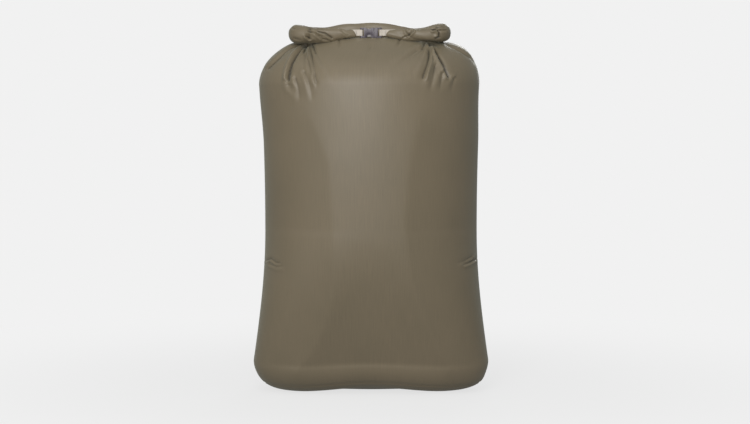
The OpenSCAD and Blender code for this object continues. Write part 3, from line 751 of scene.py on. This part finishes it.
# Twisted wrinkles on the front of the arms, and the valleys where the bends meet them
arm_creases = [
    ([(-0.1060, 0.5755), (-0.0967, 0.5696)], (0.0012, 0.0016), (0.0040, 0.0016), 1),
    ([(-0.1030, 0.5840), (-0.0930, 0.5820), (-0.0852, 0.5768), (-0.0780, 0.5712)],
     (0.0013, 0.0016), (0.0024, 0.0030), 1),
    ([(-0.0860, 0.5840), (-0.0748, 0.5810), (-0.0676, 0.5757), (-0.0610, 0.5705)],
     (0.0014, 0.0016), (0.0036, 0.0030), 1),
    ([(-0.0790, 0.5714), (-0.0655, 0.5684)], (0.0014, 0.0014), (0.0024, 0.0012), 0),
    ([(-0.0995, 0.5900), (-0.0990, 0.5800), (-0.1015, 0.5690)], (0.0030, 0.0030), (0.0024, 0.0030), 0),
    ([(-0.0480, 0.5860), (-0.0420, 0.5800), (-0.0360, 0.5760)], (0.0014, 0.0014), (0.0008, 0.0014), 1),
    ([(0.0680, 0.5850), (0.0593, 0.5745)], (0.0014, 0.0014), (0.0032, 0.0022), -1),
    ([(0.0580, 0.5835), (0.0655, 0.5725)], (0.0013, 0.0014), (0.0024, 0.0016), 1),
    ([(0.0560, 0.5750), (0.0480, 0.5715)], (0.0014, 0.0014), (0.0016, 0.0008), 1),
    ([(0.1000, 0.5870), (0.1070, 0.5880), (0.1110, 0.5820), (0.1115, 0.5745), (0.1030, 0.5710)],
     (0.0014, 0.0016), (0.0040, 0.0030), 1),
    ([(0.1070, 0.5915), (0.1130, 0.5905), (0.1220, 0.5900)], (0.0013, 0.0014), (0.0028, 0.0014), 1),
    ([(0.1120, 0.5860), (0.1230, 0.5850)], (0.0014, 0.0016), (0.0020, 0.0012), 0),
    ([(0.1160, 0.5960), (0.1200, 0.5930)], (0.0013, 0.0014), (0.0020, 0.0012), 0),
    ([(-0.1310, 0.5900), (-0.1250, 0.5880), (-0.1200, 0.5900)], (0.0014, 0.0014), (0.0026, 0.0010), 0),
    ([(-0.1250, 0.5720), (-0.1140, 0.5690)], (0.0020, 0.0020), (0.0018, 0.0008), 0),
]
front_side = ease(-roll_out[..., 1] * 1.8) * (roll_rows[..., 1] < -0.012)
roll_view = front_view(roll_rows)
roll_push = np.zeros(roll_rows.shape[:2])
for path, width, depth, lean in arm_creases:
    roll_push += crease(roll_view, path, width, depth, lean) * front_side
# Pleats inside the bends, long slack folds, and the edge of the outer layer along the back
sharpest_turn, pleat_depth, slack_depth, wave_h, layer_step = 60, 0.0014, 0.0008, 0.0006, 0.0011
turning = np.gradient(np.unwrap(np.arctan2(tangent[:, 1], tangent[:, 0])), roll_at)
bending = np.clip(np.abs(turning) / sharpest_turn, 0, 1)[:, None]
around = angles[None]
s = roll_at[:, None]
inner = ease(np.cos(around) * np.sign(-turning)[:, None] * 0.8 + 0.4)
roll_push -= pleat_depth * bending * inner * np.abs(np.sin(s * 560 + 1.3 * np.sin(around * 2))) ** 3
roll_push -= slack_depth * np.abs(np.sin(around * 1.5 + s * 21 + 0.9 * np.sin(s * 43))) ** 6
roll_push += wave_h * np.sin(s * 95 + around * 2 + 1.7 * np.sin(s * 31))
layer_edge = 2 * math.pi - 0.9 + 0.12 * np.sin(s * 37) + 0.05 * np.sin(s * 143)
roll_push += layer_step * (((around - layer_edge) / (2 * math.pi)) % 1 - 0.5)
roll_rows += roll_out * roll_push[..., None]


def tip_cap(row, centre, axis):
    """Rows that close a tip: the rolled layers show as a spiral."""
    rows = []
    for share in np.linspace(0.92, 0.10, 14):
        turns = 2 * math.pi * 3.2 * share
        lift = 0.0006 * np.cos(turns + angles) + 0.0016 * math.sqrt(max(0.0, 1 - share ** 2))
        rows.append(centre + (row - centre) * share + axis * lift[:, None])
    return np.array(rows)


left_cap = tip_cap(roll_rows[0], roll_line[0, :3], -tangent[0])[::-1]
right_cap = tip_cap(roll_rows[-1], roll_line[-1, :3], tangent[-1])
roll_rows = np.concatenate([left_cap, roll_rows, right_cap])
roll_push = np.pad(roll_push, ((len(left_cap), len(right_cap)), (0, 0)))
roll_out = row_normals(roll_rows)

# Cuts: inside each arm's root, at the middle of each bend, and at each end of the back run
arm_root, bend_middle, run_end = 0.166, 0.128, 0.094
cuts = [0]
for at in (-arm_root, -bend_middle, -run_end, run_end, bend_middle, arm_root):
    cuts.append(len(left_cap) + int(np.argmin(np.abs(from_centre - at))))
cuts.append(len(roll_rows) - 1)
roll_parts = [
    ("roll_left_arm", "left_end", None, ("roll_left_end", "hem_stiffener_left_end")),
    ("roll_left_front_corner", "left_bend", "left_end", ()),
    ("roll_left_back_corner", "handle", "left_bend", ("roll_left_bend", "hem_stiffener_left_bend")),
    ("roll_back_run", "handle", None, ("roll_back", "hem_stiffener_back")),
    ("roll_right_back_corner", "handle", "right_bend", ("roll_right_bend", "hem_stiffener_right_bend")),
    ("roll_right_front_corner", "right_bend", "right_end", ()),
    ("roll_right_arm", "right_end", None, ("roll_right_end", "hem_stiffener_right_end")),
]
for k, (name, body, next_body, nodes) in enumerate(roll_parts):
    first, last = cuts[k], cuts[k + 1]
    part = grid_object(name, roll_rows[first:last + 1], 0.078, cap_first=(k == 0), cap_last=(k == 6))
    part.data.materials.append(nylon)
    # The fold depth darkens the nylon's colour: painted shade in the folds of the roll
    keep_painted_fold_shade(part, roll_push[first:last + 1], full_depth=0.0042)
    part.data.normals_split_custom_set_from_vertices(roll_out[first:last + 1].reshape(-1, 3).tolist())
    if next_body is None:
        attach(part, body)
    else:
        # A corner is left where it stands, its transform baked in; the line through the cut in the middle
        # of its bend is worked out but not used
        at_back = name.endswith("back_corner")
        outward = -1 if name.startswith("roll_left") else 1
        middle, far = (last, first) if at_back == (outward == 1) else (first, last)
        centre = roll_rows[middle].mean(0)
        direction = outward * tangent[middle - len(left_cap)]
        reach = (roll_rows[far] - centre) @ direction
        if at_back:
            start, end = centre + direction * (reach.max() + 0.0005), centre - direction * 0.0004
        else:
            start, end = centre + direction * 0.0004, centre + direction * (reach.min() - 0.0005)
        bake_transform(part)
    if nodes:
        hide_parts(*nodes)

# ---- Webbing tabs ----
# One loop of pale 10 mm polyester tape on each half of the buckle: it goes round the bar and back
# into the end of the roll, where its two layers are sewn in.


def woven(name, tint):
    material, shader, add, link = new_material(name)
    shader.inputs["Roughness"].default_value = 0.72
    shader.inputs["Sheen Weight"].default_value = 0.3
    uv = add("ShaderNodeUVMap", uv_map="cloth")
    yarn_map = add("ShaderNodeMapping")
    yarn_map.inputs["Scale"].default_value = (2600, 900, 1)
    link(uv.outputs["UV"], yarn_map.inputs["Vector"])
    yarn = add("ShaderNodeTexNoise")
    yarn.inputs["Scale"].default_value = 1
    yarn.inputs["Detail"].default_value = 2
    link(yarn_map.outputs["Vector"], yarn.inputs["Vector"])
    shade = add("ShaderNodeValToRGB")
    shade.color_ramp.elements[0].position = 0.2
    shade.color_ramp.elements[0].color = (tint[0] * 0.80, tint[1] * 0.79, tint[2] * 0.77, 1)
    shade.color_ramp.elements[1].position = 0.8
    shade.color_ramp.elements[1].color = (*tint, 1)
    link(yarn.outputs["Fac"], shade.inputs["Fac"])
    link(shade.outputs["Color"], shader.inputs["Base Color"])
    bump = add("ShaderNodeBump")
    bump.inputs["Strength"].default_value = 0.5
    bump.inputs["Distance"].default_value = 0.0001
    link(yarn.outputs["Fac"], bump.inputs["Height"])
    link(bump.outputs["Normal"], shader.inputs["Normal"])
    return material


webbing = woven("pale_webbing", (0.74, 0.68, 0.61))
bar_x, buckle_y, buckle_z = 0.0153, -0.0380, 0.5800
web_w, web_t, web_loop_r, web_root = 0.0100, 0.00092, 0.00172, 0.0438
rib_pitch, rib_h = 0.00085, 0.00006
ring_of_tape = [(bar_x - web_loop_r * math.cos(a), web_loop_r * math.sin(a))
                for a in np.radians(np.linspace(-128, 128, 17))]
tape_path = [(web_root, -0.0005), (0.0300, -0.0005), (0.0205, -0.00055), (0.0184, -0.0008)]
tape_path += ring_of_tape + [(x, -y) for x, y in tape_path[::-1]]
across_tape = np.linspace(-1, 1, 25)
for side, body, node in ((-1, "left_end", "webbing_tab_left"), (1, "right_end", "webbing_tab_right")):
    stops = np.array([(side * x, buckle_y + y, buckle_z) for x, y in tape_path])
    middle, run = smooth_line(stops, 0.00022)
    heading = np.gradient(middle, axis=0)
    heading /= np.linalg.norm(heading, axis=1, keepdims=True)
    facing = np.stack([-heading[:, 1], heading[:, 0], np.zeros(len(run))], 1)
    rib = rib_h * np.sin(2 * math.pi * run[:, None] / rib_pitch + math.pi * np.round(across_tape[None] * 4))
    half_t = web_t / 2 * (1 - 0.45 * np.abs(across_tape[None]) ** 10) + rib
    spine = middle[:, None] + across_tape[None, :, None] * np.array((0, 0, web_w / 2))
    top = spine + facing[:, None] * half_t[..., None]
    under = spine - facing[:, None] * half_t[..., None]
    tab = grid_object("woven_" + node, np.concatenate([top, under[:, ::-1]], 1), 0.021,
                      cap_first=True, cap_last=True)
    clean_mesh(tab)
    tab.data.materials.append(webbing)
    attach(tab, body)
    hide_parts(node)

# ---- Bar tacks ----
# A close row of zigzag stitches of polyester thread on each face of a tab, holding its layers.
thread = woven("tack_thread", (0.66, 0.61, 0.55))
thread_r, thread_y, thread_arch = 0.00021, 0.00112, 0.00010
tack_x, tack_half_l, tack_half_h, stitch_count = 0.0233, 0.00078, 0.0038, 17
round_thread = np.linspace(0, 2 * math.pi, 8, endpoint=False)[None, :, None]
for side, body, node in ((-1, "left_end", "bar_tacks_left"), (1, "right_end", "bar_tacks_right")):
    corners = []
    for k in range(stitch_count):
        climb = mix(-tack_half_h, tack_half_h, k / (stitch_count - 1))
        end = tack_half_l * (1 if k % 2 else -1)
        corners += [(-0.82 * end, climb), (0.82 * end, climb)]
    stitches = []
    for face in (-1, 1):
        stops = np.array([(side * tack_x + x,
                           buckle_y + face * (thread_y + thread_arch * (1 - abs(x) / tack_half_l)),
                           buckle_z + z) for x, z in corners])
        line, _ = smooth_line(stops, 0.00009)
        heading = np.gradient(line, axis=0)
        heading /= np.linalg.norm(heading, axis=1, keepdims=True)
        out = np.cross(heading, (0, 1, 0))
        out /= np.linalg.norm(out, axis=1, keepdims=True)
        up = np.cross(out, heading)
        tube = line[:, None] + thread_r * (np.cos(round_thread) * out[:, None]
                                           + np.sin(round_thread) * up[:, None])
        stitches.append(grid_object("zigzag_" + node, tube, 0.0013, cap_first=True, cap_last=True))
    bpy.ops.object.select_all(action="DESELECT")
    for row in stitches:
        row.select_set(True)
    bpy.context.view_layer.objects.active = stitches[0]
    bpy.ops.object.join()
    tack = bpy.context.object
    clean_mesh(tack)
    tack.data.materials.append(thread)
    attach(tack, body)
    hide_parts(node)

# ---- Side-release buckle ----
# Two halves of moulded dark acetal that close the roll into a ring. The socket has a thumb scoop
# with a window on the pad of the prong; the plug carries the two prongs, which snap behind the
# socket's throat.


def moulded(name, tint):
    material, shader, add, link = new_material(name)
    shader.inputs["Specular IOR Level"].default_value = 0.5
    coords = add("ShaderNodeTexCoord")
    grain = add("ShaderNodeTexNoise")
    grain.inputs["Scale"].default_value = 2600
    grain.inputs["Detail"].default_value = 2
    link(coords.outputs["Object"], grain.inputs["Vector"])
    cloud = add("ShaderNodeTexNoise")
    cloud.inputs["Scale"].default_value = 180
    link(coords.outputs["Object"], cloud.inputs["Vector"])
    shade = add("ShaderNodeValToRGB")
    shade.color_ramp.elements[0].color = (tint[0] * 0.88, tint[1] * 0.88, tint[2] * 0.88, 1)
    shade.color_ramp.elements[1].color = (tint[0] * 1.12, tint[1] * 1.12, tint[2] * 1.12, 1)
    link(cloud.outputs["Fac"], shade.inputs["Fac"])
    link(shade.outputs["Color"], shader.inputs["Base Color"])
    gloss = add("ShaderNodeMapRange")
    gloss.inputs["To Min"].default_value = 0.30
    gloss.inputs["To Max"].default_value = 0.44
    link(grain.outputs["Fac"], gloss.inputs["Value"])
    link(gloss.outputs["Result"], shader.inputs["Roughness"])
    bump = add("ShaderNodeBump")
    bump.inputs["Strength"].default_value = 0.25
    bump.inputs["Distance"].default_value = 0.00005
    link(grain.outputs["Fac"], bump.inputs["Height"])
    link(bump.outputs["Normal"], shader.inputs["Normal"])
    return material


def moulded_copy(node, name):
    """A CAD part as one clean surface, its flat faces whole, ready for the details of the moulding."""
    piece = bpy.data.objects.new(name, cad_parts[node].data.copy())
    scene.collection.objects.link(piece)
    piece.data.materials.clear()
    select_only(piece)
    bpy.ops.mesh.customdata_custom_splitnormals_clear()
    clean_mesh(piece, merge=True, flat_angle=math.radians(2))
    return piece


def cut_away(piece, tool):
    cut = piece.modifiers.new("cut", "BOOLEAN")
    cut.operation = "DIFFERENCE"
    cut.solver = "EXACT"
    cut.object = tool
    select_only(piece)
    bpy.ops.object.modifier_apply(modifier="cut")
    bpy.data.objects.remove(tool)


def finish_moulding(piece, edge, material, body, node):
    rounding = piece.modifiers.new("rounding", "BEVEL")
    rounding.width = edge
    rounding.segments = 2
    rounding.limit_method = "ANGLE"
    rounding.angle_limit = math.radians(40)
    select_only(piece)
    bpy.ops.object.modifier_apply(modifier="rounding")
    bpy.ops.object.shade_smooth_by_angle(angle=math.radians(40))
    piece.data.materials.clear()
    piece.data.materials.append(material)
    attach(piece, body)
    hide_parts(node)


acetal = moulded("dark_acetal", (0.112, 0.096, 0.116))
buckle_front_y, buckle_bottom_z = buckle_y - 0.00325, buckle_z - 0.0082
# The scoop and the window: middle x, height above the lower edge, radius, depth, sides of the round
scoop = (-0.0022, 0, 0.0074, 0.0009, 64)
window = (-0.0030, 0.0002, 0.0047, 0.0015, 48)

socket = moulded_copy("buckle_socket", "socket_moulding")
for cut_x, cut_rise, cut_r, cut_depth, cut_sides in (scoop, window):
    bpy.ops.object.select_all(action="DESELECT")
    bpy.ops.mesh.primitive_cylinder_add(vertices=cut_sides, radius=cut_r, depth=2 * cut_depth,
                                        location=(cut_x, buckle_front_y, buckle_bottom_z + cut_rise),
                                        rotation=(math.radians(90), 0, 0))
    cut_away(socket, bpy.context.object)
finish_moulding(socket, 0.00022, acetal, "socket", "buckle_socket")

plug = moulded_copy("buckle_plug", "plug_moulding")
finish_moulding(plug, 0.00030, acetal, "plug", "buckle_plug")

# The prongs are the plug's own dark acetal, coloured much lighter: a painted highlight on the prong pads
painted_highlight_acetal = moulded("painted_highlight_acetal", (0.30, 0.28, 0.28))
for node, body in (("buckle_prong_upper", "prong_upper"), ("buckle_prong_lower", "prong_lower")):
    prong = moulded_copy(node, "moulding_" + node)
    finish_moulding(prong, 0.00020, painted_highlight_acetal, body, node)
